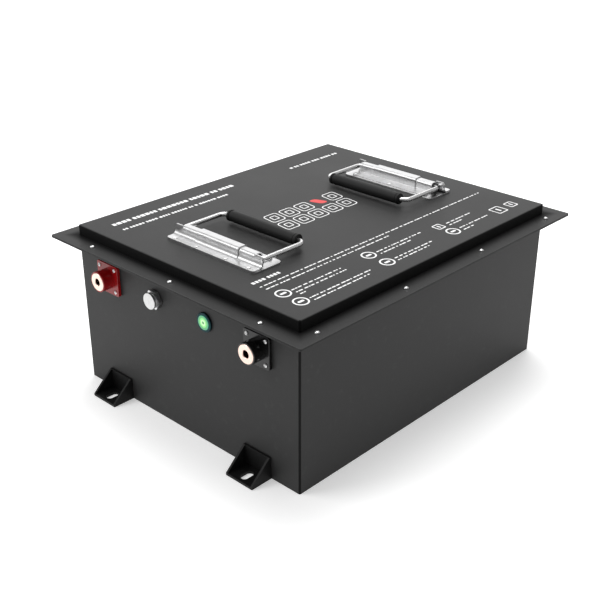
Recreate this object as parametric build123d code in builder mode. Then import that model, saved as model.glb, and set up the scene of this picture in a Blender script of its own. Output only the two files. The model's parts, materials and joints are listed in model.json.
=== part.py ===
from build123d import *
import os

# A lithium battery pack in a sheet-steel case, millimetres.
# X runs along the terminal face from the positive to the negative terminal, Y runs from the
# terminal face to the rear, Z is up. The origin is under the middle of the case, on the floor
# that the feet stand on. The terminal face looks towards -Y.

# ---------------------------------------------------------------- driving sizes

# case
case_width = 350.0
case_depth = 425.0
case_height = 184.5
case_sheet = 1.2
case_bend = 1.5
flange_reach = 23.0
flange_corner = 2.0

# lid and its gasket
lid_rise = 12.5
lid_sheet = 1.0
lid_bend = 1.2
gasket_thickness = 0.5
gasket_setback = 2.5

# lid screws: three on each short side and four on each long side
screw_pitch = 134.0
screws_across = 3
screws_along = 4
screw_head_radius = 3.1
screw_head_height = 2.0
screw_radius = 1.5
screw_length = 7.0
clinch_nut_radius = 3.2
clinch_nut_height = 2.5

# foot brackets
foot_width = 39.0
foot_reach = 28.5
foot_height = 26.5
foot_spread = 230.0
foot_base_thickness = 3.0
foot_back_thickness = 2.5
foot_gusset_thickness = 2.5
foot_slot_length = 16.0
foot_slot_width = 9.0
foot_slot_from_wall = 16.5

# terminals and the fittings between them share one height
fitting_height = 149.5
terminal_spread = 240.0
terminal_plate_size = 36.5
terminal_plate_corner = 2.5
terminal_plate_edge = 0.6
terminal_plate_thickness = 3.5
terminal_gasket_thickness = 1.0
terminal_gasket_setback = 0.5
terminal_barrel_radius = 12.0
terminal_barrel_end = 18.5
terminal_spigot_radius = 10.0
terminal_spigot_length = 5.0
terminal_screw_spacing = 26.5
terminal_screw_radius = 1.5
terminal_screw_length = 9.5
terminal_screw_head_radius = 2.5
terminal_screw_head_height = 1.5
contact_ring_radius = 10.5
contact_ring_thickness = 3.0
contact_proud = 0.5
contact_shaft_radius = 8.0
contact_inside = 22.0
contact_thread_radius = 4.0
contact_thread_depth = 18.0
contact_countersink = 0.8
contact_edge = 0.4

# breather and pressure relief valve
valve_x = -40.0
valve_seal_thickness = 1.0
valve_hex_flats = 20.0
valve_hex_thickness = 4.0
valve_collar_radius = 7.0
valve_collar_length = 2.2
valve_thread_radius = 6.0
valve_inside = 14.0
valve_stem_radius = 2.0
valve_chamber_radius = 4.8
valve_chamber_depth = 8.0
valve_cap_radius = 9.5
valve_cap_thickness = 2.5
valve_cap_edge = 0.6
valve_spring_wire = 0.8
valve_spring_turns = 4
valve_nut_flats = 19.0
valve_nut_thickness = 5.0
valve_retainer_thickness = 1.5

# push button
button_x = 40.0
button_seal_thickness = 0.5
button_bezel_radius = 11.0
button_bezel_thickness = 2.0
button_bezel_edge = 0.6
button_thread_radius = 9.3
button_inside = 24.0
button_cap_radius = 8.1
button_cap_proud = 0.5
button_cap_length = 12.0
button_cap_edge = 0.4
button_bore_depth = 20.0
button_ring_outer = 5.4
button_ring_inner = 3.9
button_ring_depth = 1.5
button_spring_wire = 0.8
button_spring_radius = 4.5
button_spring_turns = 4
button_nut_flats = 22.0
button_nut_thickness = 4.0
button_socket_radius = 7.0
button_socket_length = 8.0

# lifting handles
handle_axis_from_middle = 150.8
handle_axis_height = 8.8
handle_plate_width = 140.0
handle_plate_outer = 19.7
handle_plate_inner = 22.8
handle_plate_corner = 6.0
handle_sheet = 1.5
channel_width = 114.0
channel_half_gap = 4.4
channel_top = 14.2
channel_bend = 3.0
channel_outer_foot = 6.0
channel_inner_foot = 2.0
channel_inner_setback = 2.5
bulge_width = 66.0
bulge_step = 1.1
bulge_shoulder = 1.2
ear_inset = 1.0
ear_top = 15.0
ear_corner = 3.0
bail_wire_radius = 2.7
bail_leg_spread = 126.5
bail_length = 63.0
bail_pivot_bend = 5.5
bail_corner_bend = 9.0
bail_stub_gap = 24.0
grip_radius = 6.9
grip_end_round = 1.2
bush_length = 9.0
coil_wire = 1.4
coil_length = 18.2
coil_web = 0.84
rivet_head_radius = 2.8
rivet_head_height = 0.9
rivet_edge_margin = 1.0
head_round = 0.8
rivet_radius = 1.5
rivet_tail_radius = 2.5
rivet_tail_height = 1.4
outer_rivet_spacings = (46.0, 116.0)
inner_rivet_spacings = (0.0, 112.0)

# cells and what ties them together
cell_width = 160.0
cell_thickness = 50.0
cell_body_height = 116.0
cells_in_group = 3
cell_gap = 0.6
cell_column_gap = 2.0
cell_block_y = 48.0
cell_post_radius = 8.0
cell_post_height = 5.0
cell_post_spread = 95.0
cell_stud_radius = 3.0
cell_stud_height = 9.0
cell_corner = 3.0
end_plate_thickness = 3.0
end_plate_gap = 0.3
busbar_width = 22.0
busbar_thickness = 2.5
busbar_corner = 2.0
busbar_nut_flats = 10.0
busbar_nut_height = 5.0
tab_height = 42.0
tab_overhang = 8.0

# battery management module and the power leads
module_width = 200.0
module_depth = 24.0
module_height = 90.0
module_floor = 20.0
module_fins = 12
module_fin_depth = 6.0
module_fin_gap = 5.0
module_tab_x = 75.0
module_tab_width = 22.0
lead_radius = 6.0
lead_step_y = 38.0
lead_bend = 20.0

# clearances
hole_clearance = 0.15
running_clearance = 0.05
seat_clearance = 0.1
moving_gap = 0.3

os.makedirs("parts", exist_ok=True)

# ---------------------------------------------------------------- places worked out from them

flange_width = case_width + 2 * flange_reach
flange_depth = case_depth + 2 * flange_reach
cavity_width = case_width - 2 * case_sheet
cavity_depth = case_depth - 2 * case_sheet
lid_flange_z = case_height + gasket_thickness
lid_flange_top = lid_flange_z + lid_sheet
lid_top = lid_flange_top + lid_rise

side_row_x = case_width / 2 + flange_reach / 2
end_row_y = case_depth / 2 + flange_reach / 2
row_across = [(i - (screws_across - 1) / 2) * screw_pitch for i in range(screws_across)]
row_along = [(i - (screws_along - 1) / 2) * screw_pitch for i in range(screws_along)]
lid_screw_points = [(x, y) for y in (-end_row_y, end_row_y) for x in row_across]
lid_screw_points += [(x, y) for x in (-side_row_x, side_row_x) for y in row_along]

# The terminal face: local x is X, local y is Z, and offsets count outwards from the wall.
front_face = Plane(origin=(0, -case_depth / 2, 0), x_dir=(1, 0, 0), z_dir=(0, -1, 0))
terminal_screw_offsets = [
    (sx * terminal_screw_spacing / 2, sz * terminal_screw_spacing / 2)
    for sx in (-1, 1)
    for sz in (-1, 1)
]

axis_z = lid_top + handle_axis_height
rivet_seat_z = lid_top + 2 * handle_sheet
channel_mid = channel_half_gap + handle_sheet / 2
rivet_inset = rivet_head_radius + rivet_edge_margin
outer_rivet_distance = handle_axis_from_middle + handle_plate_outer - rivet_inset
inner_rivet_distance = handle_axis_from_middle - handle_plate_inner + channel_inner_setback + rivet_inset

cell_z = case_sheet
cell_pitch = cell_thickness + cell_gap
cell_rows = 2 * cells_in_group
cell_column_x = cell_width / 2 + cell_column_gap / 2
cell_row_y = [cell_block_y + (i - (cell_rows - 1) / 2) * cell_pitch for i in range(cell_rows)]
cell_block_depth = cell_rows * cell_pitch - cell_gap
post_top = cell_z + cell_body_height + cell_post_height
inner_post_x = cell_column_x - cell_post_spread / 2
outer_post_x = cell_column_x + cell_post_spread / 2
front_plate_y = cell_block_y - cell_block_depth / 2 - end_plate_gap - end_plate_thickness / 2
rear_plate_y = cell_block_y + cell_block_depth / 2 + end_plate_gap + end_plate_thickness / 2
module_y = front_plate_y - end_plate_thickness / 2 - module_depth / 2
module_top = module_floor + module_height


def rivet_points(side):
    """The rivets of one handle. side is -1 near the terminal face and 1 near the rear."""
    rows = ((outer_rivet_distance, outer_rivet_spacings), (inner_rivet_distance, inner_rivet_spacings))
    spots = {(hand * gap / 2, side * distance) for distance, gaps in rows for gap in gaps for hand in (-1, 1)}
    return sorted(spots)


def save(builder, name):
    """Labels a finished piece and writes it as its own STEP file."""
    builder.part.label = name
    export_step(builder.part, f"parts/{name}.step")


def domed_fasteners(name, seat, points, head, shank, tail=None):
    """Screws or rivets of one kind: head (radius, height) on the seat plane, shank (radius, length)
    behind it, and for a rivet a tail (radius, height, distance behind the seat)."""
    with BuildPart() as fasteners:
        with BuildSketch(seat):
            with Locations(*points):
                Circle(head[0])
        extrude(amount=head[1])
        outer_rims = fasteners.edges().group_by(Axis(seat.origin, seat.z_dir))[-1]
        fillet(outer_rims, head_round * head[1])
        with BuildSketch(seat):
            with Locations(*points):
                Circle(shank[0])
        extrude(amount=-shank[1])
        if tail:
            with BuildSketch(seat.offset(-tail[2])):
                with Locations(*points):
                    Circle(tail[0])
            extrude(amount=-tail[1])
    save(fasteners, name)


# ---------------------------------------------------------------- case, lid and their fixings

with BuildPart() as case_body:
    with BuildSketch():
        RectangleRounded(case_width, case_depth, case_bend)
    extrude(amount=case_height)
    with BuildSketch(Plane.XY.offset(case_sheet)):
        Rectangle(cavity_width, cavity_depth)
    extrude(amount=case_height, mode=Mode.SUBTRACT)
    with BuildSketch(front_face):
        for terminal_x in (-terminal_spread / 2, terminal_spread / 2):
            with Locations((terminal_x, fitting_height)):
                Circle(terminal_spigot_radius + hole_clearance)
                with Locations(*terminal_screw_offsets):
                    Circle(terminal_screw_radius + hole_clearance)
        with Locations((valve_x, fitting_height)):
            Circle(valve_thread_radius + hole_clearance)
        with Locations((button_x, fitting_height)):
            Circle(button_thread_radius + hole_clearance)
    extrude(amount=-case_sheet, mode=Mode.SUBTRACT)
save(case_body, "case_body")

for flange_name, flange_low, flange_sheet in (
    ("case_flange", case_height - case_sheet, case_sheet),
    ("lid_flange", lid_flange_z, lid_sheet),
):
    with BuildPart() as flange:
        with BuildSketch(Plane.XY.offset(flange_low)):
            RectangleRounded(flange_width, flange_depth, flange_corner)
            RectangleRounded(case_width, case_depth, case_bend, mode=Mode.SUBTRACT)
            with Locations(*lid_screw_points):
                Circle(screw_radius + hole_clearance, mode=Mode.SUBTRACT)
        extrude(amount=flange_sheet)
    save(flange, flange_name)

with BuildPart() as lid_gasket:
    with BuildSketch(Plane.XY.offset(case_height)):
        RectangleRounded(flange_width - 2 * gasket_setback, flange_depth - 2 * gasket_setback, flange_corner)
        Rectangle(cavity_width, cavity_depth, mode=Mode.SUBTRACT)
        with Locations(*lid_screw_points):
            Circle(screw_radius + hole_clearance, mode=Mode.SUBTRACT)
    extrude(amount=gasket_thickness)
save(lid_gasket, "lid_gasket")

with BuildPart() as lid:
    with BuildSketch(Plane.XY.offset(lid_flange_z)):
        RectangleRounded(case_width, case_depth, case_bend)
    extrude(amount=lid_top - lid_flange_z)
    fillet(lid.edges().group_by(Axis.Z)[-1], lid_bend)
    with BuildSketch(Plane.XY.offset(lid_flange_z)):
        Rectangle(case_width - 2 * case_bend, case_depth - 2 * case_bend)
    extrude(amount=lid_rise, mode=Mode.SUBTRACT)
    with BuildSketch(Plane.XY.offset(lid_top)):
        with Locations(*rivet_points(-1), *rivet_points(1)):
            Circle(rivet_radius + hole_clearance)
    extrude(amount=-2 * lid_sheet, mode=Mode.SUBTRACT)
save(lid, "lid")

domed_fasteners(
    "lid_screws",
    Plane.XY.offset(lid_flange_top),
    lid_screw_points,
    (screw_head_radius, screw_head_height),
    (screw_radius, screw_length),
)

with BuildPart() as lid_clinch_nuts:
    with BuildSketch(Plane.XY.offset(case_height - case_sheet)):
        with Locations(*lid_screw_points):
            Circle(clinch_nut_radius)
            Circle(screw_radius + running_clearance, mode=Mode.SUBTRACT)
    extrude(amount=-clinch_nut_height)
save(lid_clinch_nuts, "lid_clinch_nuts")


# ---------------------------------------------------------------- foot brackets


def foot_bracket(name, centre_x, side):
    """One welded foot: slotted base, back plate against the wall and a gusset at each end.
    side is -1 on the terminal face and 1 at the rear."""
    wall_y = side * case_depth / 2
    toe_y = wall_y + side * foot_reach
    gusset_shift = (foot_width - foot_gusset_thickness) / 2
    with BuildPart() as foot:
        with BuildSketch():
            with Locations((centre_x, (wall_y + toe_y) / 2)):
                Rectangle(foot_width, foot_reach)
        extrude(amount=foot_base_thickness)
        with BuildSketch():
            with Locations((centre_x, wall_y + side * foot_back_thickness / 2)):
                Rectangle(foot_width, foot_back_thickness)
        extrude(amount=foot_height)
        for gusset_x in (centre_x - gusset_shift, centre_x + gusset_shift):
            with BuildSketch(Plane.YZ.offset(gusset_x)):
                with BuildLine():
                    Polyline(
                        (wall_y, 0),
                        (wall_y, foot_height),
                        (wall_y + side * foot_back_thickness, foot_height),
                        (toe_y, foot_base_thickness),
                        (toe_y, 0),
                        close=True,
                    )
                make_face()
            extrude(amount=foot_gusset_thickness / 2, both=True)
        with BuildSketch():
            with Locations((centre_x, wall_y + side * foot_slot_from_wall)):
                SlotOverall(foot_slot_length, foot_slot_width, rotation=90)
        extrude(amount=foot_base_thickness, mode=Mode.SUBTRACT)
    save(foot, name)


for end_name, side in (("front", -1), ("rear", 1)):
    for hand_name, hand in (("left", -1), ("right", 1)):
        foot_bracket(f"foot_{end_name}_{hand_name}", hand * foot_spread / 2, side)


# ---------------------------------------------------------------- terminals


def terminal(prefix, centre_x):
    """A feed-through terminal: gasket, moulded housing, threaded copper contact and four screws."""
    gasket_size = terminal_plate_size - 2 * terminal_gasket_setback
    plate_back = terminal_gasket_thickness
    plate_front = plate_back + terminal_plate_thickness
    contact_front = terminal_barrel_end + contact_proud
    contact_seat = contact_front - contact_ring_thickness
    centre = (centre_x, fitting_height)
    screw_points = [(centre_x + dx, fitting_height + dz) for dx, dz in terminal_screw_offsets]

    with BuildPart() as gasket:
        with BuildSketch(front_face):
            with Locations(centre):
                RectangleRounded(gasket_size, gasket_size, terminal_plate_corner)
                Circle(terminal_spigot_radius + seat_clearance, mode=Mode.SUBTRACT)
            with Locations(*screw_points):
                Circle(terminal_screw_radius + hole_clearance, mode=Mode.SUBTRACT)
        extrude(amount=terminal_gasket_thickness)
    save(gasket, f"{prefix}_terminal_gasket")

    with BuildPart() as housing:
        with BuildSketch(front_face.offset(plate_back)):
            with Locations(centre):
                RectangleRounded(terminal_plate_size, terminal_plate_size, terminal_plate_corner)
        extrude(amount=terminal_plate_thickness)
        fillet(housing.edges().group_by(Axis.Y)[0], terminal_plate_edge)
        with BuildSketch(front_face.offset(plate_front)):
            with Locations(centre):
                Circle(terminal_barrel_radius)
        extrude(amount=terminal_barrel_end - plate_front)
        fillet(housing.edges().group_by(Axis.Y)[0], terminal_plate_edge)
        with BuildSketch(front_face.offset(plate_back)):
            with Locations(centre):
                Circle(terminal_spigot_radius)
        extrude(amount=-terminal_spigot_length)
        with BuildSketch(front_face.offset(terminal_barrel_end)):
            with Locations(centre):
                Circle(contact_shaft_radius + seat_clearance)
        extrude(amount=-terminal_barrel_end - terminal_spigot_length, mode=Mode.SUBTRACT)
        with BuildSketch(front_face.offset(terminal_barrel_end)):
            with Locations(centre):
                Circle(contact_ring_radius + seat_clearance)
        extrude(amount=contact_seat - terminal_barrel_end, mode=Mode.SUBTRACT)
        with BuildSketch(front_face.offset(plate_back)):
            with Locations(*screw_points):
                Circle(terminal_screw_radius + hole_clearance)
        extrude(amount=terminal_plate_thickness, mode=Mode.SUBTRACT)
    save(housing, f"{prefix}_terminal_housing")

    with BuildPart() as contact:
        with BuildSketch(front_face.offset(contact_front)):
            with Locations(centre):
                Circle(contact_ring_radius)
        extrude(amount=-contact_ring_thickness)
        chamfer(contact.edges().group_by(Axis.Y)[0], contact_edge)
        with BuildSketch(front_face.offset(contact_seat)):
            with Locations(centre):
                Circle(contact_shaft_radius)
        extrude(amount=-contact_seat - contact_inside)
        with BuildSketch(front_face.offset(contact_front)):
            with Locations(centre):
                Circle(contact_thread_radius)
        extrude(amount=-contact_thread_depth, mode=Mode.SUBTRACT)
        hole_rims = contact.edges().filter_by(GeomType.CIRCLE).group_by(Axis.Y)[0]
        chamfer(hole_rims.sort_by(SortBy.RADIUS)[0], contact_countersink)
    save(contact, f"{prefix}_terminal_contact")

    domed_fasteners(
        f"{prefix}_terminal_screws",
        front_face.offset(plate_front),
        screw_points,
        (terminal_screw_head_radius, terminal_screw_head_height),
        (terminal_screw_radius, terminal_screw_length),
    )


terminal("positive", -terminal_spread / 2)
terminal("negative", terminal_spread / 2)


# ---------------------------------------------------------------- compression springs


def compression_spring(name, start, radius, wire, turns, length):
    """An open coil of round wire along -Y, from its inner end at start (x, y, z)."""
    with BuildPart() as spring:
        with BuildLine() as coil:
            Helix(length / turns, length, radius, center=start, direction=(0, -1, 0))
        with BuildSketch(Plane(origin=coil.line @ 0, z_dir=coil.line % 0)):
            Circle(wire / 2)
        sweep(path=coil.line, is_frenet=True)
    save(spring, name)


# ---------------------------------------------------------------- breather and relief valve

valve_centre = (valve_x, fitting_height)
valve_hex_front = valve_seal_thickness + valve_hex_thickness
valve_collar_front = valve_hex_front + valve_collar_length
valve_cap_back = valve_collar_front + moving_gap
valve_chamber_floor = valve_chamber_depth - valve_inside
valve_stem_end = -valve_inside

with BuildPart() as valve_seal:
    with BuildSketch(front_face):
        with Locations(valve_centre):
            Circle(valve_hex_flats / 2)
            Circle(valve_thread_radius + hole_clearance, mode=Mode.SUBTRACT)
    extrude(amount=valve_seal_thickness)
save(valve_seal, "valve_seal")

with BuildPart() as valve_body:
    with BuildSketch(front_face.offset(valve_seal_thickness)):
        with Locations(valve_centre):
            RegularPolygon(valve_hex_flats / 2, 6, major_radius=False)
    extrude(amount=valve_hex_thickness)
    with BuildSketch(front_face.offset(valve_hex_front)):
        with Locations(valve_centre):
            Circle(valve_collar_radius)
    extrude(amount=valve_collar_length)
    with BuildSketch(front_face.offset(valve_seal_thickness)):
        with Locations(valve_centre):
            Circle(valve_thread_radius)
    extrude(amount=-valve_seal_thickness - valve_inside)
    with BuildSketch(front_face.offset(valve_collar_front)):
        with Locations(valve_centre):
            Circle(valve_stem_radius + running_clearance)
    extrude(amount=-valve_collar_front - valve_inside, mode=Mode.SUBTRACT)
    with BuildSketch(front_face.offset(-valve_inside)):
        with Locations(valve_centre):
            Circle(valve_chamber_radius)
    extrude(amount=valve_chamber_depth, mode=Mode.SUBTRACT)
save(valve_body, "valve_body")

with BuildPart() as valve_cap:
    with BuildSketch(front_face.offset(valve_cap_back)):
        with Locations(valve_centre):
            Circle(valve_cap_radius)
    extrude(amount=valve_cap_thickness)
    fillet(valve_cap.edges().group_by(Axis.Y)[0], valve_cap_edge)
    with BuildSketch(front_face.offset(valve_cap_back)):
        with Locations(valve_centre):
            Circle(valve_stem_radius)
    extrude(amount=valve_stem_end - valve_cap_back)
save(valve_cap, "valve_cap")

with BuildPart() as valve_retainer:
    with BuildSketch(front_face.offset(valve_stem_end)):
        with Locations(valve_centre):
            Circle(valve_chamber_radius - 2 * moving_gap)
            Circle(valve_stem_radius + running_clearance, mode=Mode.SUBTRACT)
    extrude(amount=valve_retainer_thickness)
save(valve_retainer, "valve_retainer")

valve_spring_length = valve_chamber_depth - valve_retainer_thickness - valve_spring_wire - 2 * moving_gap
compression_spring(
    "valve_spring",
    (valve_x, -case_depth / 2 - valve_stem_end - valve_retainer_thickness - moving_gap - valve_spring_wire / 2,
     fitting_height),
    (valve_chamber_radius + valve_stem_radius) / 2,
    valve_spring_wire,
    valve_spring_turns,
    valve_spring_length,
)

with BuildPart() as valve_nut:
    with BuildSketch(front_face.offset(-case_sheet)):
        with Locations(valve_centre):
            RegularPolygon(valve_nut_flats / 2, 6, major_radius=False)
            Circle(valve_thread_radius + running_clearance, mode=Mode.SUBTRACT)
    extrude(amount=-valve_nut_thickness)
save(valve_nut, "valve_nut")


# ---------------------------------------------------------------- push button

button_centre = (button_x, fitting_height)
button_bezel_front = button_seal_thickness + button_bezel_thickness
button_cap_front = button_bezel_front + button_cap_proud
button_cap_back = button_cap_front - button_cap_length
button_bore_floor = button_bezel_front - button_bore_depth

with BuildPart() as button_seal:
    with BuildSketch(front_face):
        with Locations(button_centre):
            Circle(button_bezel_radius - seat_clearance)
            Circle(button_thread_radius + hole_clearance, mode=Mode.SUBTRACT)
    extrude(amount=button_seal_thickness)
save(button_seal, "button_seal")

with BuildPart() as button_body:
    with BuildSketch(front_face.offset(button_seal_thickness)):
        with Locations(button_centre):
            Circle(button_bezel_radius)
    extrude(amount=button_bezel_thickness)
    chamfer(button_body.edges().group_by(Axis.Y)[0], button_bezel_edge)
    with BuildSketch(front_face.offset(button_seal_thickness)):
        with Locations(button_centre):
            Circle(button_thread_radius)
    extrude(amount=-button_seal_thickness - button_inside)
    with BuildSketch(front_face.offset(-button_inside)):
        with Locations(button_centre):
            Circle(button_socket_radius)
    extrude(amount=-button_socket_length)
    with BuildSketch(front_face.offset(button_bezel_front)):
        with Locations(button_centre):
            Circle(button_cap_radius + running_clearance)
    extrude(amount=-button_bore_depth, mode=Mode.SUBTRACT)
save(button_body, "button_body")

with BuildPart() as button_cap:
    with BuildSketch(front_face.offset(button_cap_front)):
        with Locations(button_centre):
            Circle(button_cap_radius)
    extrude(amount=-button_cap_length)
    fillet(button_cap.edges().group_by(Axis.Y)[0], button_cap_edge)
    with BuildSketch(front_face.offset(button_cap_front)):
        with Locations(button_centre):
            Circle(button_ring_outer)
            Circle(button_ring_inner, mode=Mode.SUBTRACT)
    extrude(amount=-button_ring_depth, mode=Mode.SUBTRACT)
save(button_cap, "button_cap")

with BuildPart() as button_light_ring:
    with BuildSketch(front_face.offset(button_cap_front - button_ring_depth)):
        with Locations(button_centre):
            Circle(button_ring_outer - running_clearance)
            Circle(button_ring_inner + running_clearance, mode=Mode.SUBTRACT)
    extrude(amount=button_ring_depth)
save(button_light_ring, "button_light_ring")

button_spring_length = button_cap_back - button_bore_floor - 2 * moving_gap - button_spring_wire
compression_spring(
    "button_spring",
    (button_x, -case_depth / 2 - button_bore_floor - moving_gap - button_spring_wire / 2, fitting_height),
    button_spring_radius,
    button_spring_wire,
    button_spring_turns,
    button_spring_length,
)

with BuildPart() as button_nut:
    with BuildSketch(front_face.offset(-case_sheet)):
        with Locations(button_centre):
            RegularPolygon(button_nut_flats / 2, 6, major_radius=False)
            Circle(button_thread_radius + running_clearance, mode=Mode.SUBTRACT)
    extrude(amount=-button_nut_thickness)
save(button_nut, "button_nut")


# ---------------------------------------------------------------- lifting handles


def handle(prefix, side):
    """A folding spring handle on the lid, its bail lying towards the middle of the lid.
    side is -1 near the terminal face and 1 near the rear."""
    axis_y = side * handle_axis_from_middle
    outer_y = axis_y + side * handle_plate_outer
    inner_y = axis_y - side * handle_plate_inner
    lip_y = inner_y + side * channel_inner_setback
    plate_mid_y = (outer_y + inner_y) / 2
    plate_depth = handle_plate_outer + handle_plate_inner
    grip_y = axis_y - side * bail_length
    leg_x = bail_leg_spread / 2
    stub_x = bail_stub_gap / 2
    channel_x = channel_width / 2
    bulge_x = bulge_width / 2
    ear_x = handle_plate_width / 2 - ear_inset
    flange_z = lid_top + 1.5 * handle_sheet
    roof_z = lid_top + channel_top - handle_sheet / 2
    fixings = rivet_points(side)
    shoulder_y = channel_mid + bulge_step / 2
    shoulder_roof_z = roof_z + bulge_step / 2

    with BuildPart() as plate:
        with BuildSketch(Plane.XY.offset(lid_top)):
            with Locations((0, plate_mid_y)):
                RectangleRounded(handle_plate_width, plate_depth, handle_plate_corner)
            with Locations(*fixings):
                Circle(rivet_radius + hole_clearance, mode=Mode.SUBTRACT)
        extrude(amount=handle_sheet)
    save(plate, f"{prefix}_handle_plate")

    with BuildPart() as housing:
        for start_x, end_x, step in (
            (-channel_x, -bulge_x, 0),
            (-bulge_x, bulge_x, bulge_step),
            (bulge_x, channel_x, 0),
        ):
            wall_y = axis_y + side * (channel_mid + step)
            inner_wall_y = axis_y - side * (channel_mid + step)
            with BuildSketch(Plane.YZ.offset(start_x)):
                with BuildLine():
                    FilletPolyline(
                        (outer_y, flange_z),
                        (wall_y, flange_z),
                        (wall_y, roof_z + step),
                        (inner_wall_y, roof_z + step),
                        (inner_wall_y, flange_z),
                        (lip_y, flange_z),
                        radius=[channel_outer_foot, channel_bend, channel_bend, channel_inner_foot],
                    )
                trace(line_width=handle_sheet)
            extrude(amount=end_x - start_x)
        for shoulder_start in (-bulge_x, bulge_x - bulge_shoulder):
            with BuildSketch(Plane.YZ.offset(shoulder_start)):
                with BuildLine():
                    FilletPolyline(
                        (axis_y + side * shoulder_y, flange_z),
                        (axis_y + side * shoulder_y, shoulder_roof_z),
                        (axis_y - side * shoulder_y, shoulder_roof_z),
                        (axis_y - side * shoulder_y, flange_z),
                        radius=channel_bend,
                    )
                trace(line_width=handle_sheet + bulge_step)
            extrude(amount=bulge_shoulder)
        for ear_start in (-ear_x, channel_x):
            with BuildSketch(Plane.YZ.offset(ear_start)):
                with BuildLine():
                    FilletPolyline(
                        (outer_y, flange_z),
                        (axis_y + side * channel_mid, flange_z),
                        (axis_y + side * channel_mid, lid_top + ear_top),
                        radius=channel_outer_foot,
                    )
                trace(line_width=handle_sheet)
            extrude(amount=ear_x - channel_x)
        end_edges = housing.edges().filter_by(Axis.Y).group_by(Axis.X)
        fillet([end_edges[0].sort_by(Axis.Z)[-1], end_edges[-1].sort_by(Axis.Z)[-1]], ear_corner)
        with BuildSketch(Plane.XY.offset(lid_top)):
            with Locations((0, plate_mid_y)):
                RectangleRounded(handle_plate_width, plate_depth, handle_plate_corner)
        extrude(amount=2 * axis_z, mode=Mode.INTERSECT)
        with BuildSketch(Plane.XY.offset(lid_top)):
            with Locations(*fixings):
                Circle(rivet_radius + hole_clearance)
        extrude(amount=2 * handle_sheet, mode=Mode.SUBTRACT)
    save(housing, f"{prefix}_handle_housing")

    with BuildPart() as bail:
        with BuildLine(Plane.XY.offset(axis_z)) as wire:
            FilletPolyline(
                (-stub_x, axis_y),
                (-leg_x, axis_y),
                (-leg_x, grip_y),
                (leg_x, grip_y),
                (leg_x, axis_y),
                (stub_x, axis_y),
                radius=[bail_pivot_bend, bail_corner_bend, bail_corner_bend, bail_pivot_bend],
            )
        with BuildSketch(Plane(origin=wire.line @ 0, z_dir=wire.line % 0)):
            Circle(bail_wire_radius)
        sweep(path=wire.line)
    save(bail, f"{prefix}_handle_bail")

    grip_half = leg_x - bail_corner_bend
    with BuildPart() as grip:
        with BuildSketch(Plane(origin=(-grip_half, grip_y, axis_z), z_dir=(1, 0, 0))):
            Circle(grip_radius)
            Circle(bail_wire_radius + running_clearance, mode=Mode.SUBTRACT)
        extrude(amount=2 * grip_half)
        end_rims = grip.edges().filter_by(GeomType.CIRCLE).group_by(SortBy.RADIUS)[-1]
        fillet(end_rims, grip_end_round)
    save(grip, f"{prefix}_handle_grip")

    bush_half = channel_half_gap - seat_clearance
    bush_top = channel_top - handle_sheet - handle_axis_height - seat_clearance
    bush_foot = handle_axis_height - handle_sheet - seat_clearance
    with BuildPart() as bushes:
        for bush_start in (-channel_x, channel_x - bush_length):
            with BuildSketch(Plane(origin=(bush_start, axis_y, axis_z), x_dir=(0, 1, 0), z_dir=(1, 0, 0))):
                with Locations((0, (bush_top - bush_foot) / 2)):
                    RectangleRounded(2 * bush_half, bush_top + bush_foot, channel_bend - handle_sheet / 2)
                Circle(bail_wire_radius + running_clearance, mode=Mode.SUBTRACT)
            extrude(amount=bush_length)
    save(bushes, f"{prefix}_handle_bushes")

    coil_mid = bail_wire_radius + moving_gap + coil_wire / 2
    coil_turns = round(coil_length / coil_wire)
    coil_end = bulge_x - bulge_shoulder - moving_gap
    with BuildPart() as coils:
        for coil_start in (-coil_end, coil_end - coil_turns * coil_wire):
            with BuildSketch(Plane(origin=(coil_start, axis_y, axis_z), x_dir=(1, 0, 0), z_dir=(0, -1, 0))):
                with Locations(*[((turn + 0.5) * coil_wire, coil_mid) for turn in range(coil_turns)]):
                    Circle(coil_wire / 2)
                with Locations((coil_turns * coil_wire / 2, coil_mid)):
                    Rectangle((coil_turns - 1) * coil_wire, coil_web)
            revolve(axis=Axis((0, axis_y, axis_z), (1, 0, 0)))
    save(coils, f"{prefix}_handle_springs")

    domed_fasteners(
        f"{prefix}_handle_rivets",
        Plane.XY.offset(rivet_seat_z),
        fixings,
        (rivet_head_radius, rivet_head_height),
        (rivet_radius, 2 * handle_sheet + lid_sheet + rivet_tail_height),
        (rivet_tail_radius, rivet_tail_height, 2 * handle_sheet + lid_sheet),
    )


handle("front", -1)
handle("rear", 1)


# ---------------------------------------------------------------- cells, bus bars and end plates


def cell_group(name, column_x, rows):
    """Cells side by side in parallel, each a prism with two posts and their studs."""
    with BuildPart() as cells:
        for row_y in rows:
            with BuildSketch(Plane.XY.offset(cell_z)):
                with Locations((column_x, row_y)):
                    RectangleRounded(cell_width, cell_thickness, cell_corner)
            extrude(amount=cell_body_height)
            with BuildSketch(Plane.XY.offset(cell_z + cell_body_height)):
                with Locations((column_x, row_y)):
                    with GridLocations(cell_post_spread, 1, 2, 1):
                        Circle(cell_post_radius)
            extrude(amount=cell_post_height)
            with BuildSketch(Plane.XY.offset(post_top)):
                with Locations((column_x, row_y)):
                    with GridLocations(cell_post_spread, 1, 2, 1):
                        Circle(cell_stud_radius)
            extrude(amount=cell_stud_height)
    save(cells, name)


front_rows = cell_row_y[:cells_in_group]
rear_rows = cell_row_y[cells_in_group:]
cell_group("cell_group_1", -cell_column_x, front_rows)
cell_group("cell_group_2", -cell_column_x, rear_rows)
cell_group("cell_group_3", cell_column_x, rear_rows)
cell_group("cell_group_4", cell_column_x, front_rows)

module_post = (inner_post_x, module_y)


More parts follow.
